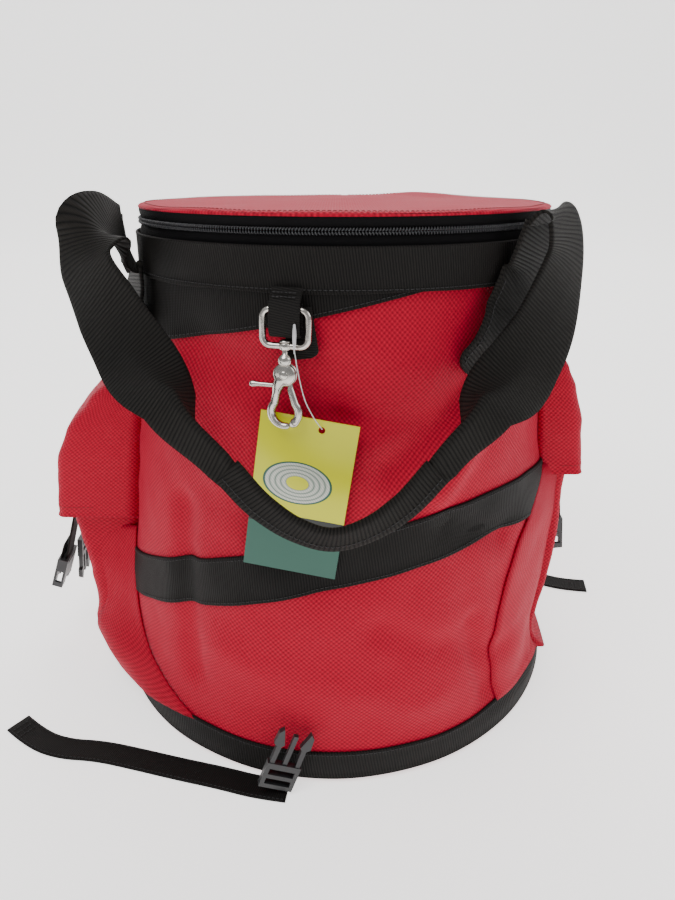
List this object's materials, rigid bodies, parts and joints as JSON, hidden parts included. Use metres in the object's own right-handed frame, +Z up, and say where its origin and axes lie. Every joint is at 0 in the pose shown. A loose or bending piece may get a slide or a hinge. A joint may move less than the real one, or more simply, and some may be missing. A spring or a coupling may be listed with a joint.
{
  "type": "rope storage bag",
  "caption": "Round-bottomed red cloth rope bag with zipped lid, black webbing bands, hand loops, box side pockets, back straps and a swivel snap with a card tag.",
  "frame": {"origin": "centre of the base's underside, where the bag stands", "axes": "+Z up, -Y towards the front with the snap, +X to the right seen from the front"},
  "size_m": [0.5213, 0.4356, 0.4055],
  "materials": {
    "red_cordura": "matte coated weave",
    "base_cloth": "matte coated weave",
    "black_webbing": "ribbed polyester webbing",
    "pad_cloth": "matte weave over foam",
    "zipper_tape": "fine woven tape",
    "zipper_coil": "moulded coil",
    "black_metal": "satin",
    "black_plastic": "moulded satin",
    "nickel": "nickel plated",
    "card": "printed card",
    "clear_plastic": "translucent"
  },
  "bodies": {
    "bag": {"base_buckle_front": "black_plastic", "base_buckle_rear": "black_plastic", "base_panel": "base_cloth", "base_strap_front": "black_webbing", "base_strap_rear": "black_webbing", "body_back_panel": "red_cordura", "body_front_panel": "red_cordura", "body_zipper_coil": "zipper_coil", "body_zipper_tape": "zipper_tape", "bottom_band": "black_webbing", "handle_anchor_back_left": "black_webbing", "handle_anchor_back_right": "black_webbing", "handle_anchor_front_left": "black_webbing", "handle_anchor_front_right": "black_webbing", "hook_tab": "black_webbing", "hook_tab_tail": "black_webbing", "lid_hinge_tape": "zipper_tape", "lower_rim_band": "black_webbing", "mid_band_back": "black_webbing", "mid_band_front": "black_webbing", "pocket_left": "red_cordura", "pocket_right": "red_cordura", "pocket_strap_left": "black_webbing", "pocket_strap_right": "black_webbing", "shoulder_yoke": "black_webbing", "upper_rim_band": "black_webbing"},
    "lid": {"lid_panel": "red_cordura", "lid_zipper_tape": "zipper_tape", "lid_zipper_coil": "zipper_coil"},
    "slider": {"zip_slider": "black_metal"},
    "pull": {"zip_pull": "black_metal"},
    "ring": {"swivel_ring": "nickel", "tag_fastener": "clear_plastic"},
    "snap": {"snap_body": "nickel", "snap_pivot": "nickel"},
    "gate": {"snap_gate": "nickel"},
    "tag": {"hang_tag": "card"},
    "handle_front": {"handle_front_grip": "black_webbing", "handle_front_loop_left": "black_webbing", "handle_front_loop_right": "black_webbing"},
    "handle_back": {"handle_back_grip": "black_webbing", "handle_back_loop_left": "black_webbing", "handle_back_loop_right": "black_webbing"},
    "flap_left": {"flap_left": "red_cordura", "flap_webbing_left": "black_webbing"},
    "flap_right": {"flap_right": "red_cordura", "flap_webbing_right": "black_webbing"},
    "female_left": {"pocket_buckle_female_left": "black_plastic", "buckle_webbing_left": "black_webbing"},
    "female_right": {"pocket_buckle_female_right": "black_plastic", "buckle_webbing_right": "black_webbing"},
    "male_left": {"pocket_buckle_male_left": "black_plastic"},
    "male_right": {"pocket_buckle_male_right": "black_plastic"},
    "shoulder_left": {"shoulder_pad_left": "pad_cloth", "shoulder_webbing_left": "black_webbing", "shoulder_buckle_left": "black_plastic"},
    "shoulder_right": {"shoulder_pad_right": "pad_cloth", "shoulder_webbing_right": "black_webbing", "shoulder_buckle_right": "black_plastic"}
  },
  "joints": [
    {"name": "lid_hinge", "type": "hinge", "parent": "bag", "child": "lid", "pos_m": [0.008, 0.14958, 0.36128], "axis": [-1, 0, 0], "range_deg": [0, 110]},
    {"name": "zip_run", "type": "hinge", "parent": "bag", "child": "slider", "pos_m": [0.008, 0, 0.377], "axis": [0, 0.1045, 0.9945], "range_deg": [0, 296]},
    {"name": "pull_swing", "type": "hinge", "parent": "slider", "child": "pull", "pos_m": [-0.07446, 0.13123, 0.36321], "axis": [0.848, 0.527, -0.0554], "range_deg": [0, 100]},
    {"name": "ring_swing", "type": "hinge", "parent": "bag", "child": "ring", "pos_m": [-0.02714, -0.15593, 0.35], "axis": [-0.9763, 0.2164, 0], "range_deg": [0, 12]},
    {"name": "snap_swivel", "type": "hinge", "parent": "ring", "child": "snap", "pos_m": [-0.02775, -0.15867, 0.32868], "axis": [0.0283, 0.1274, 0.9914], "range_deg": [-10, 10]},
    {"name": "gate_open", "type": "hinge", "parent": "snap", "child": "gate", "pos_m": [-0.02823, -0.16084, 0.31183], "axis": [-0.2146, -0.9679, 0.1305], "range_deg": [0, 15], "stiffness_Nm_per_rad": 0.05, "springref_deg": -8.59},
    {"name": "tag_swing", "type": "hinge", "parent": "ring", "child": "tag", "pos_m": [-0.00657, -0.16229, 0.27603], "axis": [-0.9873, 0.127, 0.095], "range_deg": [0, 25]},
    {"name": "handle_front_lift", "type": "hinge", "parent": "bag", "child": "handle_front", "pos_m": [0, -0.111, 0.394], "axis": [-1, 0, 0], "range_deg": [0, 150], "deforming": ["handle_front_loop_left", "handle_front_loop_right"]},
    {"name": "handle_back_lift", "type": "hinge", "parent": "bag", "child": "handle_back", "pos_m": [0, 0.111, 0.364], "axis": [1, 0, 0], "range_deg": [0, 150], "deforming": ["handle_back_loop_left", "handle_back_loop_right"]},
    {"name": "flap_left_open", "type": "hinge", "parent": "bag", "child": "flap_left", "pos_m": [-0.15587, 0, 0.277], "axis": [0, 1, 0], "range_deg": [0, 95]},
    {"name": "flap_right_open", "type": "hinge", "parent": "bag", "child": "flap_right", "pos_m": [0.16625, 0, 0.292], "axis": [0, -1, 0], "range_deg": [0, 95]},
    {"name": "female_left_swing", "type": "hinge", "parent": "flap_left", "child": "female_left", "pos_m": [-0.21992, -0.013, 0.1464], "axis": [0, 1, 0], "range_deg": [0, 60]},
    {"name": "female_right_swing", "type": "hinge", "parent": "flap_right", "child": "female_right", "pos_m": [0.19481, -0.013, 0.1864], "axis": [0, -1, 0], "range_deg": [0, 60]},
    {"name": "male_left_swing", "type": "hinge", "parent": "bag", "child": "male_left", "pos_m": [-0.2335, 0.015, 0.0885], "axis": [0, 1, 0], "range_deg": [0, 60]},
    {"name": "male_right_swing", "type": "hinge", "parent": "bag", "child": "male_right", "pos_m": [0.19, 0.015, 0.136], "axis": [0, -1, 0], "range_deg": [0, 60]},
    {"name": "shoulder_left_swing", "type": "hinge", "parent": "bag", "child": "shoulder_left", "pos_m": [-0.0418, 0.1577, 0.302], "axis": [0.9564, 0.2921, 0], "range_deg": [0, 9]},
    {"name": "shoulder_right_swing", "type": "hinge", "parent": "bag", "child": "shoulder_right", "pos_m": [0.0546, 0.1577, 0.302], "axis": [0.9564, -0.2921, 0], "range_deg": [0, 9]}
  ]
}
